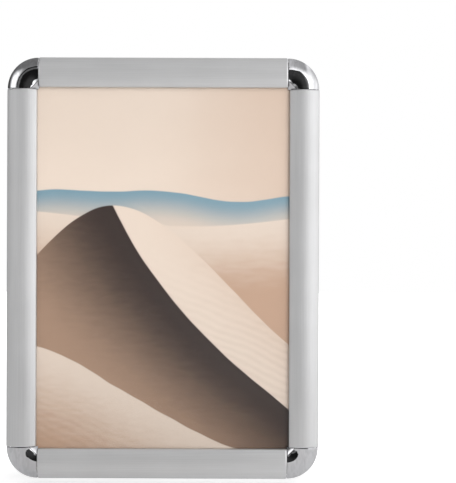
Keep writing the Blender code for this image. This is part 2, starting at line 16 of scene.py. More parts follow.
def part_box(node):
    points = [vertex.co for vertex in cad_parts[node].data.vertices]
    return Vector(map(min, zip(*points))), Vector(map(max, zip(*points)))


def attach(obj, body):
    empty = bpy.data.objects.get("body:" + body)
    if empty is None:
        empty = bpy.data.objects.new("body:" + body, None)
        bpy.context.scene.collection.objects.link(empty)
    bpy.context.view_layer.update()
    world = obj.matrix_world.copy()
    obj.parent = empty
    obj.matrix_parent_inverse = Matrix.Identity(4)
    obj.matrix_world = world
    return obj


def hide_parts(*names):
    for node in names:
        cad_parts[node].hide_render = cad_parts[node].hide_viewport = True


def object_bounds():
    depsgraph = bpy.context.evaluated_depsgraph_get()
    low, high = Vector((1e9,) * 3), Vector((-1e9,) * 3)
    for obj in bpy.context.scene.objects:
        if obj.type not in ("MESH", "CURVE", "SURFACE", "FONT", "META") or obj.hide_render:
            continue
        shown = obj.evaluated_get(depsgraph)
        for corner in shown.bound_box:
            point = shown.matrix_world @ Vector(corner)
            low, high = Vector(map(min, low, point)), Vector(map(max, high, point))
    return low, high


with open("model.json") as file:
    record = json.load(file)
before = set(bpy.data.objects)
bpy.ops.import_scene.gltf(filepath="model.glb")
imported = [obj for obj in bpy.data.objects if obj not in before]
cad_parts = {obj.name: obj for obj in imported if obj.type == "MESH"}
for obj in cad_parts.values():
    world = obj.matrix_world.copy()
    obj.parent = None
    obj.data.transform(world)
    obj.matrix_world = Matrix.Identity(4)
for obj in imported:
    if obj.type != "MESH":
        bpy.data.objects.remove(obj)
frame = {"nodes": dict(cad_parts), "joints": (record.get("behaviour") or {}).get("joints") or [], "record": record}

bl_info = {
    "name": "Snap frame looks",
    "version": (1, 0, 0),
    "blender": (4, 5, 0),
    "location": "3D View > Sidebar > Snap frame",
    "description": "Dresses a poster snap frame and sets up its studio",
    "category": "Object",
}

CAD_LOW, CAD_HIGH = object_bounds()

# The frame's sides, and the two directions in which their profiles were drawn.
SIDES = ("bottom", "right", "top", "left")
DIRECTIONS = {"x": ("bottom", "top"), "z": ("left", "right")}

# Quarter turns that bring the bottom left cap to each corner.
CORNER_TURNS = {"bottom_left": 0, "bottom_right": -1, "top_right": 2, "top_left": 1}

# Points that lie nearer to each other than this are merged, in metres.
WELD = 0.00001

# Faces whose directions differ by less than this are one flat face.
FLAT = math.radians(0.2)

# Edges that turn by more than this stay sharp.
SHARP_COVER = math.radians(32)
SHARP_CAP = math.radians(28)
SHARP_SPRING = math.radians(45)
SHARP_SCREW = math.radians(30)

# Turn of a screw's cross, whose corners then miss the edges between the segments of its head.
CROSS_TURN = math.radians(16)


def length(name, description, default):
    """Property for a length in metres."""
    return FloatProperty(name=name, description=description, default=default, unit="LENGTH", precision=5)


def number(name, description, default, **limits):
    """Property for an angle, a share or a level."""
    return FloatProperty(name=name, description=description, default=default, **limits)


def colour(name, description, default):
    """Property for a linear colour."""
    return FloatVectorProperty(name=name, description=description, default=default, size=3,
                               subtype="COLOR", min=0, max=1)


class SnapFrameSizes(bpy.types.PropertyGroup):
    cut_width: length("Cut width", "Width of the bevel on the sawn ends of the covers", 0.0009)
    cut_depth: length("Cut depth", "Depth of the bevel on the sawn ends of the covers", 0.00035)
    curl_radius: length("Curl radius", "Outer radius of the hinge curl along the outer edge", 0.0023)
    cap_wall: length("Cap wall", "Wall of the corner caps", 0.001)
    cap_skirt_gap: length("Cap skirt gap", "Gap between a cap's skirt and the wall", 0.0003)
    cap_seam_round: length("Cap seam round", "Rounding of a cap's edge along the seams", 0.00015)
    facet_leg: length("Facet leg", "Leg of the triangular facet at a cap's inner corner", 0.0064)
    facet_low: length("Facet low", "Height of the facet at its tip, above the wall", 0.0061)
    facet_fall: length("Facet fall", "How far the facet falls from its long edge to its tip", 0.0032)
    step_round: length("Step round", "Rounding of the step above the facet", 0.0006)
    recess_reach: length("Recess reach", "Half the width of a screw's cross recess", 0.0011)
    recess_slot: length("Recess slot", "Half the width of one slot of the recess", 0.0004)
    recess_depth: length("Recess depth", "Depth of the recess", 0.0008)
    thread_pitch: length("Thread pitch", "Distance between the ridges of a screw's shank", 0.0005)
    arch_steps: IntProperty(name="Arch steps", description="Segments over a cap's arch", default=40, min=8)
    turn_steps: IntProperty(name="Turn steps", description="Segments round a cap's quarter", default=48,
                            min=8)
    crest_share: number("Crest", "Place of the crest as a share of the cover's width", 0.515,
                        min=0.3, max=0.7, subtype="FACTOR")


class SnapFrameColours(bpy.types.PropertyGroup):
    aluminium: colour("Aluminium", "Satin anodised rails and covers", (0.63, 0.63, 0.635))
    sawn: colour("Sawn aluminium", "Cut ends of the covers", (0.66, 0.66, 0.67))
    chrome: colour("Chrome", "Plated corner caps", (0.55, 0.55, 0.565))
    spring: colour("Spring steel", "Spring strips", (0.36, 0.37, 0.40))
    zinc: colour("Zinc", "Screws", (0.68, 0.68, 0.66))
    plastic: colour("Plastic", "Corner keys", (0.030, 0.030, 0.034))
    panel: colour("Panel", "Back panel", (0.82, 0.82, 0.81))
    paper: colour("Paper", "Back and edges of the poster", (0.86, 0.85, 0.82))
    print_light: colour("Print light", "Lightest sand and sky of the print", (0.62, 0.52, 0.44))
    print_warm: colour("Print warm", "Warm sand of the print", (0.44, 0.285, 0.195))
    print_dark: colour("Print dark", "Shaded slopes of the print", (0.028, 0.014, 0.010))
    print_blue: colour("Print blue", "Far hills of the print", (0.16, 0.27, 0.33))
    floor: colour("Floor", "Floor of the studio", (0.80, 0.80, 0.80))


class SnapFrameStudio(bpy.types.PropertyGroup):
    camera_away: length("Camera distance", "Distance from the frame's front to the camera", 0.80)
    camera_side: length("Camera side", "How far the camera stands right of the frame's middle", 0.0521)
    camera_up: length("Camera height", "How far the camera stands above the frame's middle", 0.0215)
    camera_roll: number("Camera roll", "Roll of the camera", math.radians(-0.21), subtype="ANGLE")
    floor_drop: length("Floor drop", "Room under the frame for its bottom cover to open", 0.004)
    lens: number("Lens", "Focal length in millimetres", 74.8, min=20)
    key_watts: number("Key light", "Power of the box on the right", 3.0, min=0)
    side_watts: number("Side light", "Power of the box on the left", 3.0, min=0)
    room: number("Room", "Brightness of the room in front", 0.90, min=0)
    backdrop: number("Backdrop", "Brightness of the wall behind the frame", 0.9, min=0)


SETTINGS = (("snap_sizes", SnapFrameSizes), ("snap_colours", SnapFrameColours),
            ("snap_studio", SnapFrameStudio))


class Field:
    """A shader socket that takes part in Python sums."""

    def __init__(self, sheet, socket):
        self.sheet = sheet
        self.socket = socket

    def maths(self, operation, *others):
        values = dict(enumerate((self, *others)))
        return self.sheet.node("ShaderNodeMath", {"operation": operation}, values)

    def __add__(self, other):
        return self.maths("ADD", other)

    def __sub__(self, other):
        return self.maths("SUBTRACT", other)

    def __mul__(self, other):
        return self.maths("MULTIPLY", other)

    def __truediv__(self, other):
        return self.maths("DIVIDE", other)

    def __radd__(self, other):
        return self.maths("ADD", other)

    def __rmul__(self, other):
        return self.maths("MULTIPLY", other)

    def __rsub__(self, other):
        return self.maths("MULTIPLY_ADD", -1.0, other)

    def sine(self):
        return self.maths("SINE")

    def step(self, low, high, start=0.0, end=1.0):
        """Smooth change from start, below low, to end, above high."""
        values = {"Value": self, "From Min": low, "From Max": high, "To Min": start, "To Max": end}
        return self.sheet.node("ShaderNodeMapRange", {"interpolation_type": "SMOOTHSTEP"}, values)

    def above_zero(self, softness):
        """One above zero and none below, with a soft edge."""
        return self.step(-softness, softness)


class Sheet:
    """A node tree being filled."""

    def __init__(self, tree):
        self.tree = tree

    def feed(self, socket, value):
        if isinstance(value, Field):
            self.tree.links.new(value.socket, socket)
        elif hasattr(value, "__len__") and len(value) == 3 and len(socket.default_value) == 4:
            socket.default_value = (*value, 1)
        else:
            socket.default_value = value

    def node(self, kind, settings=None, values=None, output=0):
        """A new node: settings first, then the values or links of its sockets."""
        made = self.tree.nodes.new(kind)
        for setting, value in (settings or {}).items():
            setattr(made, setting, value)
        for socket, value in (values or {}).items():
            self.feed(made.inputs[socket], value)
        return Field(self, made.outputs[output])

    def place(self):
        return self.node("ShaderNodeTexCoord", output="Object")

    def parts(self, field, *names):
        """Named outputs of the node that a field comes from."""
        return [Field(self, field.socket.node.outputs[name]) for name in names]

    def axes(self, vector):
        """The three parts of a vector."""
        return self.parts(self.node("ShaderNodeSeparateXYZ", {}, {"Vector": vector}), "X", "Y", "Z")

    def rays(self):
        """Whether a ray comes from the camera, from gloss or through something clear."""
        names = ("Is Camera Ray", "Is Glossy Ray", "Is Transmission Ray")
        return self.parts(self.node("ShaderNodeLightPath"), *names)

    def scaled(self, scale):
        return self.node("ShaderNodeMapping", {}, {"Vector": self.place(), "Scale": scale})

    def noise(self, vector, scale, detail=3.0, distortion=0.0):
        values = {"Vector": vector, "Scale": scale, "Detail": detail, "Distortion": distortion}
        return self.node("ShaderNodeTexNoise", {}, values)

    def mix(self, factor, first, second):
        """Mix of two colours, which are sockets 6 and 7 of the node."""
        values = {"Factor": factor, 6: first, 7: second}
        return self.node("ShaderNodeMix", {"data_type": "RGBA"}, values, output=2)


class Finish(Sheet):
    """A material being made, with its Principled shader."""

    def __init__(self, name, base, metallic=0.0):
        self.material = bpy.data.materials.new(name)
        self.material.use_nodes = True
        super().__init__(self.material.node_tree)
        self.shader = self.tree.nodes["Principled BSDF"]
        self.set("Base Color", base)
        self.set("Metallic", metallic)

    def set(self, socket, value):
        self.feed(self.shader.inputs[socket], value)

    def bump(self, height, strength, distance):
        values = {"Height": height, "Strength": strength, "Distance": distance}
        self.set("Normal", self.node("ShaderNodeBump", {}, values))


def tinted(base, factor):
    """A colour made lighter or darker."""
    return tuple(min(channel * factor, 1.0) for channel in base)


def drawn_aluminium(name, base, along):
    """Satin anodised extrusion: faint streaks along its length, a fine grain, and soft clouding."""
    finish = Finish(name, base, metallic=0.92)
    stretch = {"x": (18, 1600, 1600), "z": (1600, 1600, 18)}[along]
    streaks = finish.noise(finish.scaled(stretch), 1.0, 4.0)
    clouds = finish.noise(finish.place(), 22.0, 2.0)
    grain = finish.noise(finish.place(), 5200.0, 2.0)
    tone = streaks * 0.6 + clouds * 0.4
    finish.set("Base Color", finish.mix(tone.step(0.3, 0.7), tinted(base, 0.955), tinted(base, 1.045)))
    finish.set("Roughness", 0.50 + streaks * 0.08 + grain * 0.06)
    finish.bump(streaks * 0.5 + grain * 0.5, 0.06, 0.00004)
    return finish.material


def sawn_aluminium(name, base):
    """Deburred saw cut: smoother than the anodised face, with fine cross lines."""
    finish = Finish(name, base, metallic=1.0)
    lines = finish.noise(finish.place(), 2400.0)
    finish.set("Roughness", 0.36 + lines * 0.16)
    finish.bump(lines, 0.12, 0.00005)
    return finish.material


def chrome_plate(name, base):
    """Bright plating on a moulding: almost a mirror, with a slight flow and faint wipe marks."""
    finish = Finish(name, base, metallic=1.0)
    flow = finish.noise(finish.place(), 90.0, 1.5, 0.6)
    wipes = finish.noise(finish.scaled((300, 300, 90)), 1.0, 3.0, 1.2)
    finish.set("Base Color", finish.mix(wipes.step(0.30, 0.75), tinted(base, 1.04), tinted(base, 0.87)))
    finish.set("Roughness", 0.03 + wipes.step(0.45, 0.8) * 0.07)
    finish.bump(flow + wipes * 0.04, 0.32, 0.0004)
    return finish.material


def spring_strip(name, base):
    """Rolled spring steel with a cool tone and rolling lines."""
    finish = Finish(name, base, metallic=1.0)
    lines = finish.noise(finish.scaled((3000, 400, 400)), 1.0)
    heat = finish.noise(finish.place(), 160.0, 2.0)
    finish.set("Base Color", finish.mix(heat.step(0.35, 0.7), base, tinted(base, 0.72)))
    finish.set("Roughness", 0.24 + lines * 0.16)
    finish.bump(lines, 0.10, 0.00003)
    return finish.material


def zinc_plate(name, base):
    """Zinc on a small screw: bright and a little blotchy."""
    finish = Finish(name, base, metallic=1.0)
    blotches = finish.noise(finish.place(), 1400.0)
    finish.set("Base Color", finish.mix(blotches.step(0.4, 0.7), base, tinted(base, 0.8)))
    finish.set("Roughness", 0.22 + blotches * 0.2)
    finish.bump(blotches, 0.10, 0.00005)
    return finish.material


def moulded_plastic(name, base):
    """Black glass-filled moulding with a spark-eroded grain."""
    finish = Finish(name, base)
    grain = finish.noise(finish.place(), 2600.0, 4.0)
    flow = finish.noise(finish.place(), 120.0, 2.0, 1.5)
    finish.set("Base Color", finish.mix(flow.step(0.35, 0.7), base, tinted(base, 1.6)))
    finish.set("Roughness", 0.42 + grain * 0.18)
    finish.bump(grain, 0.25, 0.00006)
    return finish.material


def panel_board(name, base):
    """White polystyrene board with a faint orange peel and rubbed places."""
    finish = Finish(name, base)
    peel = finish.noise(finish.place(), 900.0, 2.0)
    rubbed = finish.noise(finish.place(), 14.0, 4.0, 0.8)
    finish.set("Base Color", finish.mix(rubbed.step(0.4, 0.75), base, tinted(base, 0.95)))
    finish.set("Roughness", 0.36 + rubbed * 0.14)
    finish.bump(peel, 0.12, 0.00008)
    return finish.material


class DunePrint(Finish):
    """Picture of dunes under a pale sky, laid down from the far distance to the near.

    Across and up run from 0 to 1 over the poster. A layer covers the scene where its own height
    less up is above zero.
    """

    OUTLINE = 0.002
    RIDGE_LINE = 0.003

    def __init__(self, name, colours):
        super().__init__(name, colours.paper)
        self.light, self.warm, self.dark = colours.print_light, colours.print_warm, colours.print_dark
        self.pale = tinted(self.light, 1.06)
        self.blue = colours.print_blue
        self.low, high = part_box("poster")
        self.size = high - self.low
        x, self.depth, z = self.axes(self.place())
        self.across = (x - self.low.x) / self.size.x
        self.up = (z - self.low.z) / self.size.z
        self.drift = self.noise(self.place(), 9.0) - 0.5
        self.fine = self.noise(self.scaled((70, 70, 260)), 1.0, 5.0, 0.4) - 0.5
        rows = self.up * 300.0 + self.across * 90.0 + self.drift * 26.0
        self.ripples = (rows.sine() * 0.5 + 0.5) * (0.75 + self.fine)

    def sky(self):
        """Pale sky that turns warmer to the right."""
        height = (self.up + self.drift * 0.3).step(0.66, 1.0)
        warmth = (self.across + self.drift * 0.4).step(0.35, 1.15, 0.0, 0.50)
        return self.mix(warmth, self.mix(height, self.pale, tinted(self.light, 0.98)), self.warm)

    def hills(self, scene):
        """Far blue hills whose feet fade into haze."""
        long_wave = (self.across * 5.2 + 0.4).sine() * 0.014
        short_wave = (self.across * 13.0 + 1.1).sine() * 0.006
        under = 0.70 + long_wave + short_wave + self.drift * 0.03 - self.up
        hill = self.mix(under.step(0.0, 0.09), self.blue, tinted(self.light, 0.9))
        return self.mix(under.above_zero(self.OUTLINE), scene, hill)

    def plain(self, scene):
        """Flat sand at the hills' feet, warmer towards the front."""
        under = 0.635 + (self.across * 4.1 + 2.2).sine() * 0.022 - self.up
        sand = self.mix((under + self.fine * 0.06).step(0.0, 0.2), self.light, self.warm)
        return self.mix(under.above_zero(self.OUTLINE), scene, sand)

    def great_dune(self, scene):
        """Great dune with a shaded slope left of its ridge and a rippled one in the light."""
        hump = self.across.step(-0.5, 0.30) * self.across.step(0.30, 1.25, 1.0, 0.0)
        under = 0.20 + hump * 0.47 + self.drift * 0.02 - self.up
        fall = 0.68 - self.up
        ridge = 0.30 + fall * 1.25 - (fall * 5.2).sine() * 0.10 + self.drift * 0.03
        shaded = ridge - self.across
        lit = self.mix((self.fine * 0.12 - shaded).step(0.0, 0.8), self.pale, self.warm)
        lit = self.mix(self.ripples * fall.step(0.05, 0.5) * 0.14, lit, tinted(self.warm, 0.6))
        shade = self.mix((shaded + self.fine * 0.08).step(0.04, 0.62), self.dark, tinted(self.warm, 0.75))
        slopes = self.mix(shaded.above_zero(self.RIDGE_LINE), lit, shade)
        return self.mix(under.above_zero(self.OUTLINE), scene, slopes)

    def near_bank(self, scene):
        """Low rippled bank in front, which runs out to the right."""
        under = 0.30 - (self.across + self.drift * 0.1).step(-0.1, 0.9) * 0.30 - self.up
        bank = self.mix((under + self.fine * 0.1).step(0.0, 0.3), self.light, self.warm)
        bank = self.mix(self.ripples * under.step(0.0, 0.25) * 0.14, bank, tinted(self.warm, 0.5))
        return self.mix(under.above_zero(self.OUTLINE), scene, bank)


def printed_poster(name, colours):
    """Matt print on the front of white paper, whose back and edges stay bare."""
    finish = DunePrint(name, colours)
    scene = finish.hills(finish.sky())
    scene = finish.plain(scene)
    scene = finish.great_dune(scene)
    scene = finish.near_bank(scene)
    grain = finish.noise(finish.place(), 1300.0, 2.0)
    printed = finish.mix(grain.step(0.3, 0.8) * 0.05, scene, tinted(finish.dark, 0.8))
    printed_depth = finish.low.y + finish.size.y * 0.2
    front = (printed_depth - finish.depth).step(0.0, WELD)
    finish.set("Base Color", finish.mix(front, colours.paper, printed))
    finish.set("Roughness", 0.50 + grain * 0.08)
    finish.set("Specular IOR Level", 0.15)
    return finish.material


def clear_sheet(name):
    """Clear plastic sheet: seen through, with a weak soft gloss that grows at low angles."""
    finish = Finish(name, (1.0, 1.0, 1.0), metallic=1.0)
    haze = finish.noise(finish.place(), 260.0, 2.0)
    finish.set("Roughness", 0.28 + haze * 0.08)
    facing = finish.parts(finish.node("ShaderNodeLayerWeight", {}, {"Blend": 0.5}), "Facing")[0]
    finish.set("Alpha", 0.008 + facing.maths("POWER", 5) * 0.6)
    return finish.material


def studio_floor(name, base):
    """Pale floor that meets the white backdrop and keeps the shadow of what stands on it."""
    finish = Finish(name, base)
    speck = finish.noise(finish.place(), 60.0, 2.0)
    finish.set("Base Color", finish.mix(speck.step(0.3, 0.7), base, tinted(base, 0.985)))
    finish.set("Roughness", 0.75)
    camera, glossy, glass = finish.rays()
    x, y = finish.axes(finish.place())[:2]
    # The floor glows white for the camera and through clear things, and less from its front edge to just behind
    # the frame, so the frame's shadow still shows there.
    far = y.step(0.02, 0.12, 0.42, 1.0)
    # Painted reflection: in gloss the floor also glows, brighter to the right, standing in for light from the
    # right falling on it.
    painted_light_in_gloss = glossy * x.step(-0.12, 0.20, 0.30, 0.66)
    finish.set("Emission Color", finish.mix((camera + glass + painted_light_in_gloss) * far, (0, 0, 0), (1, 1, 1)))
    finish.set("Emission Strength", 1.0)
    return finish.material


def new_piece(name, mesh, materials):
    """Object of a mesh at the origin, in the scene, with its materials."""
    piece = bpy.data.objects.new(name, mesh)
    bpy.context.scene.collection.objects.link(piece)
    for material in materials:
        mesh.materials.append(material)
    return piece


def dress(nodes, material):
    """Give CAD nodes a finish."""
    for node in nodes:
        data = frame["nodes"][node].data
        data.materials.clear()
        data.materials.append(material)


def body_of(node):
    """Body that a CAD node belongs to."""
    bodies = frame["record"]["behaviour"]["bodies"]
    return next(body for body, members in bodies.items() if node in members)


def merged_copy(node):
    """Copy of a CAD node's mesh with its loose triangles merged into flat faces."""
    work = bmesh.new()
    work.from_mesh(frame["nodes"][node].data)
    bmesh.ops.remove_doubles(work, verts=work.verts, dist=WELD)
    bmesh.ops.dissolve_limit(work, angle_limit=FLAT, verts=work.verts, edges=work.edges)
    return work


def smooth_mesh(work, name, sharp):
    """Mesh of a bmesh, shaded smooth apart from the edges that turn more than the sharp angle."""
    for face in work.faces:
        face.smooth = True
    mesh = bpy.data.meshes.new(name)
    work.to_mesh(mesh)
    work.free()
    mesh.set_sharp_from_angle(angle=sharp)
    return mesh


def stand_for(piece, node):
    """The piece stands in for a CAD node, which it hides, and moves with the node's body."""
    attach(piece, body_of(node))
    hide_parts(node)


def verts_of(geometry):
    """The vertices among a bmesh operator's results."""
    return [item for item in geometry if isinstance(item, bmesh.types.BMVert)]


def edges_of(geometry):
    """The edges among a bmesh operator's results."""
    return [item for item in geometry if isinstance(item, bmesh.types.BMEdge)]


def joint_place(name):
    """Point on a joint's axis."""
    joint = next(joint for joint in frame["joints"] if joint["name"] == name)
    return Vector(joint["pos_m"])


def cover_section(sizes):
    """Arch centre, hinge and arch radius of the covers' section.

    A place is its distance from the outer edge and its height above the wall.
    """
    low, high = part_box("snap_cover_bottom")
    hinge = joint_place("bottom_cover_hinge")
    hinge_in = hinge.z - CAD_LOW.z
    hinge_up = CAD_HIGH.y - hinge.y
    crest_in = sizes.crest_share * (high.z - low.z)
    crest_up = CAD_HIGH.y - low.y
    rise = crest_up - hinge_up
    run = crest_in - hinge_in
    radius = (run ** 2 + rise ** 2 - sizes.curl_radius ** 2) / (2 * (rise - sizes.curl_radius))
    return (crest_in, crest_up - radius), (hinge_in, hinge_up), radius


def trim_end(work, along, end, inwards, sizes):
    """Dress one sawn end of a cover with a shallow bevel over its outer skin, which looks forwards."""
    least_forwards, most_endways = 0.3, 0.5
    axis = Vector((0, 0, 0))
    axis[along] = 1
    cut = axis * (end + inwards * sizes.cut_width)
    everything = work.verts[:] + work.edges[:] + work.faces[:]
    bmesh.ops.bisect_plane(work, geom=everything, dist=WELD, plane_co=cut, plane_no=axis)
    work.normal_update()
    for vert in work.verts:
        if abs(vert.co[along] - end) < WELD:
            skins = [face.normal for face in vert.link_faces
                     if face.normal.y < -least_forwards and abs(face.normal[along]) < most_endways]
            if skins:
                vert.co -= sum(skins, Vector()).normalized() * sizes.cut_depth


def build_cover(side, sizes, materials):
    """Snap cover with a smooth arch and dressed sawn ends, which take the second material."""
    least_endways = 0.25
    node = f"snap_cover_{side}"
    work = merged_copy(node)
    low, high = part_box(node)
    along = 0 if side in DIRECTIONS["x"] else 2
    trim_end(work, along, low[along], 1, sizes)
    trim_end(work, along, high[along], -1, sizes)
    work.normal_update()
    for face in work.faces:
        face.material_index = 1 if abs(face.normal[along]) > least_endways else 0
    piece = new_piece(f"cover_profile_{side}", smooth_mesh(work, node, SHARP_COVER), materials)
    stand_for(piece, node)


def draw_cap_section(work, sizes, reach, inset):
    """Section of a cap along its seam: from the corner's axis over the arch and the curl to the wall."""
    (crest_in, centre_up), (hinge_in, hinge_up), radius = cover_section(sizes)
    outer = reach + inset

    def seam_point(inwards, upwards):
        return Vector((inwards - outer, CAD_HIGH.y - upwards, 0))

    centre = seam_point(crest_in, centre_up)
    hinge = seam_point(hinge_in, hinge_up)
    start = seam_point(outer, centre_up + math.sqrt(radius ** 2 - (outer - crest_in) ** 2))
    end = seam_point(inset, hinge_up + math.sqrt(sizes.curl_radius ** 2 - (hinge_in - inset) ** 2))
    meeting = (hinge - centre).normalized()
    arch_turn = (start - centre).angle(meeting)
    curl_turn = meeting.angle(end - hinge)
    curl_steps = sizes.arch_steps // 5
    last = [work.verts.new(start)]
    for middle, turn, steps in ((centre, arch_turn, sizes.arch_steps), (hinge, curl_turn, curl_steps)):
        spun = bmesh.ops.spin(work, geom=last, cent=middle, axis=(0, 0, 1), angle=-turn, steps=steps)
        last = verts_of(spun["geom_last"])
    skirt = bmesh.ops.extrude_vert_indiv(work, verts=last)
    for vert in skirt["verts"]:
        vert.co.y = CAD_HIGH.y - sizes.cap_skirt_gap


def sink_facet(work, sizes):
    """Cut off a cap's inner corner, and close it with a step down to a tilted triangular facet."""
    leg = sizes.facet_leg
    tip = Vector((0, CAD_HIGH.y - sizes.facet_low, 0))
    foot_y = tip.y - sizes.facet_fall
    everything = work.verts[:] + work.edges[:] + work.faces[:]
    cut = bmesh.ops.bisect_plane(work, geom=everything, dist=WELD, plane_co=(-leg, 0, 0),
                                 plane_no=(1, 0, 1), clear_outer=True)
    wall = bmesh.ops.extrude_edge_only(work, edges=edges_of(cut["geom_cut"]))["geom"]
    foot = verts_of(wall)
    for vert in foot:
        vert.co.y = foot_y
    foot_edges = [edge for edge in edges_of(wall) if all(vert in foot for vert in edge.verts)]
    facet = bmesh.ops.extrude_edge_only(work, edges=foot_edges)["geom"]
    for vert in verts_of(facet):
        vert.co = tip
    bmesh.ops.remove_doubles(work, verts=work.verts, dist=WELD)
    bmesh.ops.recalc_face_normals(work, faces=work.faces)

    near_cut = WELD * 5
    least_turn = 0.5
    step = [edge for edge in work.edges if len(edge.link_faces) == 2
            and all(abs(vert.co.x + vert.co.z + leg) < near_cut for vert in edge.verts)
            and all(vert.co.y < foot_y - WELD for vert in edge.verts)
            and edge.calc_face_angle() > least_turn]
    bmesh.ops.bevel(work, geom=step, offset=sizes.step_round, segments=4, profile=0.5, affect="EDGES",
                    material=-1, clamp_overlap=True)


def build_cap(corner, sizes, material):
    """Corner cap: the covers' arch turned a quarter round the corner, stepped down to a facet inside."""
    node = f"corner_cap_{corner}"
    low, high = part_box(node)
    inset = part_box("corner_cap_bottom_left")[0].x - CAD_LOW.x
    work = bmesh.new()
    draw_cap_section(work, sizes, high.x - low.x, inset)
    section = work.verts[:] + work.edges[:]
    bmesh.ops.spin(work, geom=section, cent=(0, 0, 0), axis=(0, 1, 0), angle=-math.pi / 2,
                   steps=sizes.turn_steps)
    bmesh.ops.remove_doubles(work, verts=work.verts, dist=WELD)
    sink_facet(work, sizes)
    backwards = sum(face.normal.y * face.calc_area() for face in work.faces)
    if backwards > 0:
        bmesh.ops.reverse_faces(work, faces=work.faces)

    inner_x = min((low.x, high.x), key=abs)
    inner_z = min((low.z, high.z), key=abs)
    turn = Matrix.Rotation(CORNER_TURNS[corner] * math.pi / 2, 4, "Y")
    bmesh.ops.transform(work, matrix=Matrix.Translation((inner_x, 0, inner_z)) @ turn, verts=work.verts)
    piece = new_piece(f"chrome_cap_{corner}", smooth_mesh(work, node, SHARP_CAP), [material])
    shell = piece.modifiers.new("wall", "SOLIDIFY")
    shell.thickness = sizes.cap_wall
    shell.offset = -1
    shell.use_even_offset = True
    soften = piece.modifiers.new("seam round", "BEVEL")
    soften.width = sizes.cap_seam_round
    soften.segments = 2
    soften.limit_method = "ANGLE"
    soften.angle_limit = math.radians(50)
    stand_for(piece, node)


def build_spring(node, material):
    """Spring strip with smooth rolls at both ends."""
    mesh = smooth_mesh(merged_copy(node), node, SHARP_SPRING)
    stand_for(new_piece(f"strip_{node}", mesh, [material]), node)


def screw_profile(head, low_y, top_y, pitch):
    """Half section of a screw as radius and height: flat head, cone, ridged shank and blunt point."""
    shank = head * 0.52
    root = shank * 0.86
    profile = [(0, top_y), (head, top_y), (shank, top_y - (head - shank))]
    ridge_y = profile[-1][1] - pitch
    while ridge_y > low_y + pitch:
        profile += [(root, ridge_y + pitch / 2), (shank, ridge_y)]
        ridge_y -= pitch
    return profile + [(shank * 0.5, low_y), (0, low_y)]


def recess_cutter(sizes, top_y):
    """Object of two crossed blocks that taper into the screw's head."""
    work = bmesh.new()
    corner = math.sqrt(0.5)
    taper = 0.6
    upright = Matrix.Rotation(math.pi / 2, 3, "X") @ Matrix.Rotation(math.pi / 4, 3, "Z")
    long, short, depth = sizes.recess_reach * 2, sizes.recess_slot * 2, sizes.recess_depth * 2
    for width, breadth in ((long, short), (short, long)):
        made = bmesh.ops.create_cone(work, cap_ends=True, segments=4, radius1=corner, radius2=corner,
                                     depth=1)
        bmesh.ops.rotate(work, verts=made["verts"], cent=(0, 0, 0), matrix=upright)
        bmesh.ops.scale(work, vec=(width, depth, breadth), verts=made["verts"])
        for vert in made["verts"]:
            if vert.co.y < 0:
                vert.co.x *= taper
                vert.co.z *= taper
    bmesh.ops.rotate(work, verts=work.verts, cent=(0, 0, 0), matrix=Matrix.Rotation(CROSS_TURN, 3, "Y"))
    bmesh.ops.translate(work, vec=(0, top_y, 0), verts=work.verts)
    cross = bpy.data.meshes.new("cross")
    work.to_mesh(cross)
    work.free()
    return new_piece("cross", cross, [])


def build_screw(node, sizes, material):
    """Countersunk screw with a ridged shank and a cross recess in its head."""
    low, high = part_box(node)
    middle = (low + high) / 2
    profile = screw_profile((high.x - low.x) / 2, low.y, high.y, sizes.thread_pitch)
    work = bmesh.new()
    points = [work.verts.new((radius, height, 0)) for radius, height in profile]
    lines = [work.edges.new(pair) for pair in zip(points, points[1:])]
    bmesh.ops.spin(work, geom=points + lines, cent=(0, 0, 0), axis=(0, 1, 0), angle=2 * math.pi,
                   steps=32, use_merge=True)
    bmesh.ops.remove_doubles(work, verts=work.verts, dist=WELD)
    bmesh.ops.recalc_face_normals(work, faces=work.faces)
    screw = new_piece(f"screw_{node}", smooth_mesh(work, node, SHARP_SCREW), [material])

    cutter = recess_cutter(sizes, high.y)
    recess = screw.modifiers.new("recess", "BOOLEAN")
    recess.object = cutter
    recess.use_self = True
    bpy.context.view_layer.update()
    graph = bpy.context.evaluated_depsgraph_get()
    result = bpy.data.meshes.new_from_object(screw.evaluated_get(graph), depsgraph=graph)
    screw.modifiers.clear()
    bpy.data.objects.remove(cutter)
    result.transform(Matrix.Translation((middle.x, 0, middle.z)))
    result.set_sharp_from_angle(angle=SHARP_SCREW)
    screw.data = result
    stand_for(screw, node)


class SNAPFRAME_OT_covers(bpy.types.Operator):
    """Make the four snap covers"""
    bl_idname = "snapframe.covers"
    bl_label = "Covers"

    def execute(self, context):
        sizes, colours = context.scene.snap_sizes, context.scene.snap_colours
        sawn = sawn_aluminium("sawn_aluminium", colours.sawn)
        for direction, sides in DIRECTIONS.items():
            satin = drawn_aluminium(f"satin_cover_{direction}", colours.aluminium, direction)
            for side in sides:
                build_cover(side, sizes, [satin, sawn])
        return {"FINISHED"}


class SNAPFRAME_OT_rails(bpy.types.Operator):
    """Finish the four base rails"""
    bl_idname = "snapframe.rails"
    bl_label = "Base rails"

    def execute(self, context):
        colours = context.scene.snap_colours
        for direction, sides in DIRECTIONS.items():
            satin = drawn_aluminium(f"satin_rail_{direction}", colours.aluminium, direction)
            dress([f"base_rail_{side}" for side in sides], satin)
        return {"FINISHED"}


class SNAPFRAME_OT_caps(bpy.types.Operator):
    """Make the four chromed corner caps"""
    bl_idname = "snapframe.caps"
    bl_label = "Corner caps"

    def execute(self, context):
        chrome = chrome_plate("bright_chrome", context.scene.snap_colours.chrome)
        for corner in CORNER_TURNS:
            build_cap(corner, context.scene.snap_sizes, chrome)
        return {"FINISHED"}


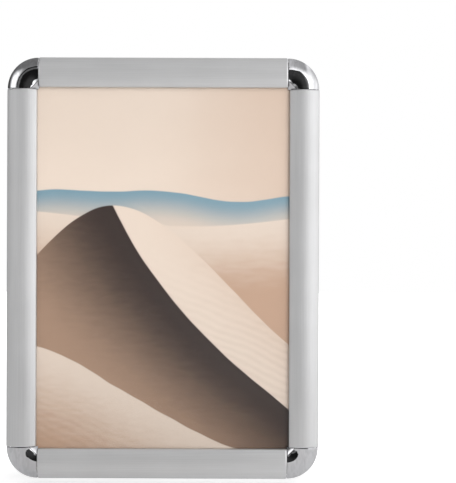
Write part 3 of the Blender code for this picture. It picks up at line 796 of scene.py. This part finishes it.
class SNAPFRAME_OT_keys(bpy.types.Operator):
    """Finish the four corner keys"""
    bl_idname = "snapframe.keys"
    bl_label = "Corner keys"

    def execute(self, context):
        plastic = moulded_plastic("black_moulding", context.scene.snap_colours.plastic)
        dress([f"corner_key_{corner}" for corner in CORNER_TURNS], plastic)
        return {"FINISHED"}


class SNAPFRAME_OT_springs(bpy.types.Operator):
    """Make the eight spring strips"""
    bl_idname = "snapframe.springs"
    bl_label = "Springs"

    def execute(self, context):
        steel = spring_strip("blued_spring", context.scene.snap_colours.spring)
        for side in SIDES:
            for place in (1, 2):
                build_spring(f"spring_{side}_{place}", steel)
        return {"FINISHED"}


class SNAPFRAME_OT_screws(bpy.types.Operator):
    """Make the twelve screws"""
    bl_idname = "snapframe.screws"
    bl_label = "Screws"

    def execute(self, context):
        zinc = zinc_plate("bright_zinc", context.scene.snap_colours.zinc)
        for node in sorted(frame["nodes"]):
            if "screw" in node:
                build_screw(node, context.scene.snap_sizes, zinc)
        return {"FINISHED"}


class SNAPFRAME_OT_sheets(bpy.types.Operator):
    """Finish the back panel, the poster and the clear sheet"""
    bl_idname = "snapframe.sheets"
    bl_label = "Sheets"

    def execute(self, context):
        colours = context.scene.snap_colours
        dress(["back_panel"], panel_board("white_board", colours.panel))
        dress(["poster"], printed_poster("dune_print", colours))
        dress(["clear_sheet"], clear_sheet("clear_cover"))
        return {"FINISHED"}


# The studio's soft boxes: where they stand, what they point at, and how much of their size fades out.
KEY_BOX = {"place": (0.68, -0.60, 0.18), "target": (0, 0, 0.05), "size": (1.00, 1.20), "soft": 0.35}
SIDE_BOX = {"place": (-0.80, -0.62, 0.42), "target": (0, 0, 0.25), "size": (0.60, 0.80), "soft": 0.40}

# The floor reaches this far to the sides and to the back, and this far to the front.
FLOOR_REACH = 3.0
FLOOR_FRONT = -0.28

# The room's light as bands over the parts x, y and z of a direction. A band starts at its first number
# and ends at its second; two more numbers are the levels before and after it, instead of 0 and 1.
CEILING_RISE = (0.22, 0.66)
CEILING_SIDES = (-0.35, 0.35, 0.56, 0.80)
CEILING_RIGHT_END = (0.44, 0.60, 1.0, 0.12)
GROUND_RISE = (-0.66, -0.24, 0.18, 1.12)
LEFT_WALL = (-0.98, -0.62, 0.02, 0.58)
MIDDLE_WALL = (-0.20, 0.14, 0.0, 2.34)
RIGHT_WALL = (0.34, 0.74, 0.0, 2.10)
GLOW_LEFT = (-0.20, 0.25)
GLOW_RIGHT = (0.35, 0.70, 1.0, 0.0)
GLOW_FALL = (0.0, 0.60, 1.7, 0.3)
TOWARDS_CAMERA = (-0.35, -0.05, 1.0, 0.0)
BEHIND_FRAME = (-0.05, 0.30)
REAR_LEFT = (-0.98, -0.55, 0.40, 1.0)
REAR_RIGHT = (0.4, 0.95)
REAR_RIGHT_LEVEL = 0.5

# The dark doorway in front, in shares of the distance to it: sideways from its middle, and up and down.
DOOR_MIDDLE = 0.012
DOOR_HALF_WIDTH = 0.408
DOOR_HEAD, HEAD_SLOPE = 0.36, 0.45
DOOR_FOOT, FOOT_SLOPE = -0.33, 0.25
DOOR_CORNER, CORNER_SHARE = 0.72, 0.7
DOOR_LEVEL = 0.022

# Bands over the distance from the doorway's edge, and over the part of it that has a door frame.
DOOR_EDGE = (0.0, 0.03)
DOOR_FRAME_SIDE = (0.0, 0.15, 1.0, 0.0)
DOOR_FRAME_ABOVE = (-0.15, 0.0)
DOOR_LINE_INNER = (0.15, 0.18)
DOOR_LINE_OUTER = (0.26, 0.29, 1.0, 0.0)
DOOR_FACE = (0.26, 0.29, 0.36, 1.0)


def add_box_light(name, place, target, size, soft, watts):
    """Soft box that points at a place and fades towards its rim over a share of its size."""
    data = bpy.data.lights.new(name, "AREA")
    data.shape = "RECTANGLE"
    data.size, data.size_y = size
    data.energy = watts
    data.use_nodes = True
    sheet = Sheet(data.node_tree)
    across, up = sheet.axes(sheet.node("ShaderNodeNewGeometry", output="Parametric"))[:2]
    fade = across.step(0.0, soft) * across.step(1.0 - soft, 1.0, 1.0, 0.0)
    fade = fade * up.step(0.0, soft) * up.step(1.0 - soft, 1.0, 1.0, 0.0)
    sheet.feed(data.node_tree.nodes["Emission"].inputs["Strength"], fade)
    light = bpy.data.objects.new(name, data)
    bpy.context.scene.collection.objects.link(light)
    light.location = place
    light.rotation_euler = (Vector(target) - Vector(place)).to_track_quat("-Z", "Y").to_euler()
    light.visible_camera = False


def add_plane(name, corners, material):
    """Flat stage piece through four corners."""
    work = bmesh.new()
    work.faces.new([work.verts.new(corner) for corner in corners])
    mesh = bpy.data.meshes.new(name)
    work.to_mesh(mesh)
    work.free()
    new_piece(name, mesh, [material])


def doorway_level(x, y, z):
    """Level of the dark doorway in front. Its upper left has a grey door frame with a dark line round it."""
    depth = y.maths("MINIMUM", -0.05) * -1.0
    aside = x / depth
    above = z / depth
    head = above - aside.maths("MAXIMUM", 0.0) * HEAD_SLOPE - DOOR_HEAD
    foot = DOOR_FOOT - above + aside * FOOT_SLOPE
    span = (aside - DOOR_MIDDLE).maths("ABSOLUTE")
    corner = (span + above - DOOR_CORNER) * CORNER_SHARE
    outside = (span - DOOR_HALF_WIDTH).maths("MAXIMUM", head).maths("MAXIMUM", foot).maths("MAXIMUM", corner)
    opening = outside.step(*DOOR_EDGE)
    frame_part = aside.step(*DOOR_FRAME_SIDE) * above.step(*DOOR_FRAME_ABOVE)
    frame_line = outside.step(*DOOR_LINE_INNER) * outside.step(*DOOR_LINE_OUTER)
    framed = opening * outside.step(*DOOR_FACE) * (1.0 - frame_line)
    return DOOR_LEVEL + opening * (1.0 - frame_part) + framed * frame_part


def light_room(room, backdrop):
    """Studio room: white backdrop, walls of different light, a dim ceiling and a glow from above.

    Gloss sees a dark doorway in front in the place of the glow.
    """
    world = bpy.data.worlds.new("studio_room")
    bpy.context.scene.world = world
    world.use_nodes = True
    sheet = Sheet(world.node_tree)
    x, y, z = sheet.axes(sheet.node("ShaderNodeTexCoord", output="Generated"))
    camera, glossy, glass = sheet.rays()
    ceiling = 1.0 - z.step(*CEILING_RISE) * x.step(*CEILING_SIDES) * x.step(*CEILING_RIGHT_END)
    wall = x.step(*LEFT_WALL) + x.step(*MIDDLE_WALL) - x.step(*RIGHT_WALL)
    towards = y.step(*TOWARDS_CAMERA)
    glow = x.step(*GLOW_LEFT) * x.step(*GLOW_RIGHT) * z.step(*GLOW_FALL) * towards * (1.0 - glossy)
    front = room * ceiling * z.step(*GROUND_RISE) * wall + glow
    shade = 1.0 - (1.0 - doorway_level(x, y, z)) * glossy * towards
    behind = y.step(*BEHIND_FRAME)
    rear = x.step(*REAR_LEFT) * x.step(*REAR_RIGHT, backdrop, REAR_RIGHT_LEVEL)
    lit = front * shade * (1.0 - behind) + behind * rear
    seen = camera.maths("MAXIMUM", glass)
    background = world.node_tree.nodes["Background"]
    sheet.feed(background.inputs["Strength"], lit * (1.0 - seen) + seen)
    sheet.feed(background.inputs["Color"], (1, 1, 1))


def add_camera(studio):
    """Camera that looks straight at the wall, to the right of the frame's middle."""
    lens = bpy.data.cameras.new("camera")
    lens.sensor_width = 36
    lens.lens = studio.lens
    lens.clip_start = 0.01
    camera = bpy.data.objects.new("camera", lens)
    bpy.context.scene.collection.objects.link(camera)
    camera.location = (studio.camera_side, CAD_LOW.y - studio.camera_away, studio.camera_up)
    camera.rotation_euler = (math.pi / 2, studio.camera_roll, 0)
    bpy.context.scene.camera = camera


class SNAPFRAME_OT_stage(bpy.types.Operator):
    """Set up the floor, the lights and the camera"""
    bl_idname = "snapframe.stage"
    bl_label = "Stage"

    def execute(self, context):
        studio, colours = context.scene.snap_studio, context.scene.snap_colours
        height = CAD_LOW.z - studio.floor_drop
        corners = [(-FLOOR_REACH, FLOOR_FRONT, height), (FLOOR_REACH, FLOOR_FRONT, height),
                   (FLOOR_REACH, FLOOR_REACH, height), (-FLOOR_REACH, FLOOR_REACH, height)]
        add_plane("pale_shelf", corners, studio_floor("pale_shelf", colours.floor))
        light_room(studio.room, studio.backdrop)
        add_box_light("key_box", watts=studio.key_watts, **KEY_BOX)
        add_box_light("side_box", watts=studio.side_watts, **SIDE_BOX)
        add_camera(studio)
        context.scene.view_settings.view_transform = "Standard"
        return {"FINISHED"}


class SNAPFRAME_PT_panel(bpy.types.Panel):
    bl_label = "Snap frame"
    bl_idname = "SNAPFRAME_PT_panel"
    bl_space_type = "VIEW_3D"
    bl_region_type = "UI"
    bl_category = "Snap frame"

    def draw(self, context):
        for operator in OPERATORS:
            self.layout.operator(operator.bl_idname)
        for attribute, group in SETTINGS:
            box = self.layout.box()
            for name in group.__annotations__:
                box.prop(getattr(context.scene, attribute), name)


OPERATORS = (SNAPFRAME_OT_covers, SNAPFRAME_OT_rails, SNAPFRAME_OT_caps, SNAPFRAME_OT_keys,
             SNAPFRAME_OT_springs, SNAPFRAME_OT_screws, SNAPFRAME_OT_sheets, SNAPFRAME_OT_stage)
CLASSES = tuple(group for attribute, group in SETTINGS) + OPERATORS + (SNAPFRAME_PT_panel,)


def register():
    for cls in CLASSES:
        bpy.utils.register_class(cls)
    for attribute, group in SETTINGS:
        setattr(bpy.types.Scene, attribute, PointerProperty(type=group))


def unregister():
    for attribute, group in SETTINGS:
        delattr(bpy.types.Scene, attribute)
    for cls in reversed(CLASSES):
        bpy.utils.unregister_class(cls)


def main():
    register()
    for name in ("covers", "rails", "caps", "keys", "springs", "screws", "sheets", "stage"):
        getattr(bpy.ops.snapframe, name)()


if __name__ == "__main__":
    main()
